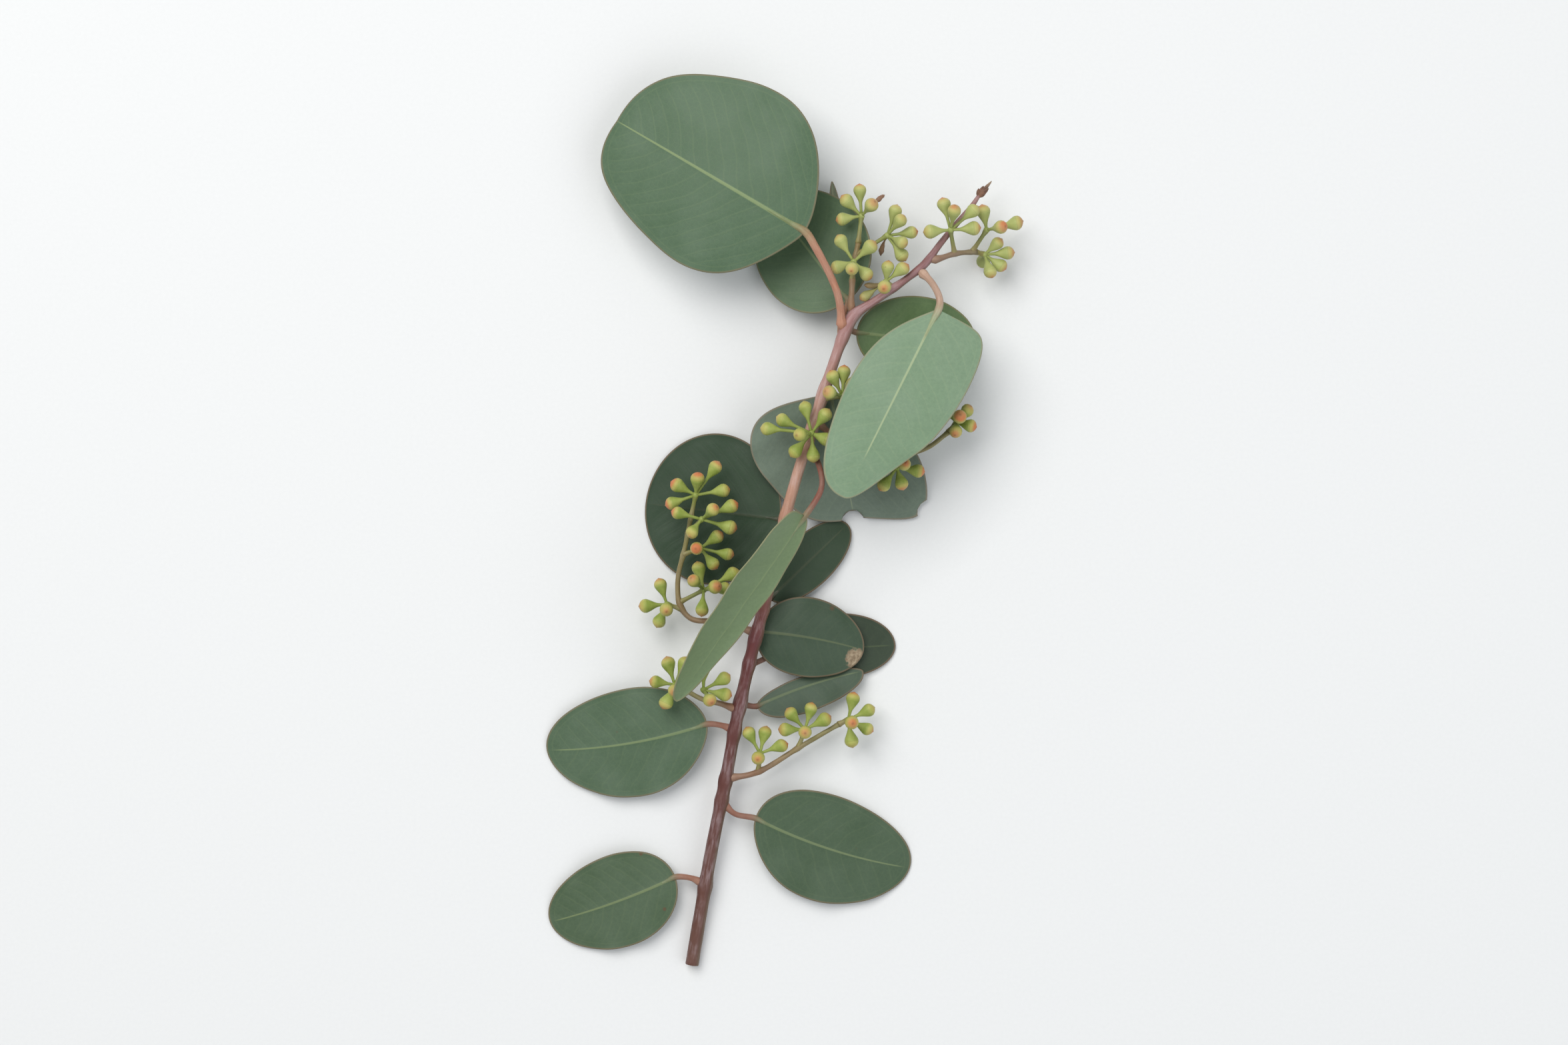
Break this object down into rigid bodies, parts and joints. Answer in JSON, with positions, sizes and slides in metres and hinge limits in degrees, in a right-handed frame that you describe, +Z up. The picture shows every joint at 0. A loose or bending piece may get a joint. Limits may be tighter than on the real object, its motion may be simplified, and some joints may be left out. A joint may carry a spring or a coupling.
{
  "type": "eucalyptus gum nut sprig",
  "caption": "Cut eucalyptus sprig lying flat: forked woody stem, round stalked leaves, side twigs and small umbels of pear-shaped capped buds.",
  "frame": {"origin": "centre of the sprig's outline seen from above, on the surface that it lies on", "axes": "+Y from the cut end towards the stem's tip, +Z up from the surface, +X to the right"},
  "size_m": [0.1491, 0.2782, 0.0362],
  "materials": {
    "stem_bark": "smooth young bark, mauve red with a pale bloom",
    "twig_bark": "smooth green twig, reddish near the stem",
    "leaf": "matt grey-green blade with a waxy bloom, pale midrib and reddish margin",
    "leaf_pale": "pale silvery green blade with a waxy bloom and reddish margin",
    "bud": "satin yellow-green bud with a conical cap, some tips orange",
    "bract": "dry brown bract"
  },
  "bodies": {
    "root": {"main_stem": "stem_bark", "twig_top": "twig_bark", "twig_tip": "twig_bark", "twig_right": "twig_bark", "twig_left": "twig_bark", "twig_low_left": "twig_bark", "twig_low_right": "twig_bark", "leaf_large_round": "leaf", "leaf_long_pale": "leaf_pale", "leaf_turned": "leaf", "leaf_low_right": "leaf", "leaf_low_right_back": "leaf", "leaf_low_tilted": "leaf", "leaf_under_round": "leaf", "leaf_narrow": "leaf", "leaf_fork": "leaf", "leaf_broad_back": "leaf", "leaf_dark_right": "leaf", "leaf_dark_left": "leaf", "leaf_stem_left": "leaf", "leaf_stem_right": "leaf", "leaf_base_left": "leaf", "umbel_stem_front": "bud", "umbel_stem_upper": "bud", "umbel_top_low": "bud", "umbel_top_high": "bud", "umbel_top_right": "bud", "umbel_fork": "bud", "umbel_tip_stem": "bud", "umbel_tip_upper": "bud", "umbel_tip_lower": "bud", "umbel_right_end": "bud", "umbel_right_middle": "bud", "umbel_right_inner": "bud", "umbel_left_end": "bud", "umbel_left_high": "bud", "umbel_left_middle": "bud", "umbel_left_low": "bud", "umbel_left_outer": "bud", "umbel_low_left_inner": "bud", "umbel_low_left_end": "bud", "umbel_low_right_end": "bud", "umbel_low_right_middle": "bud", "umbel_low_right_inner": "bud", "tip_bract": "bract"}
  },
  "joints": []
}
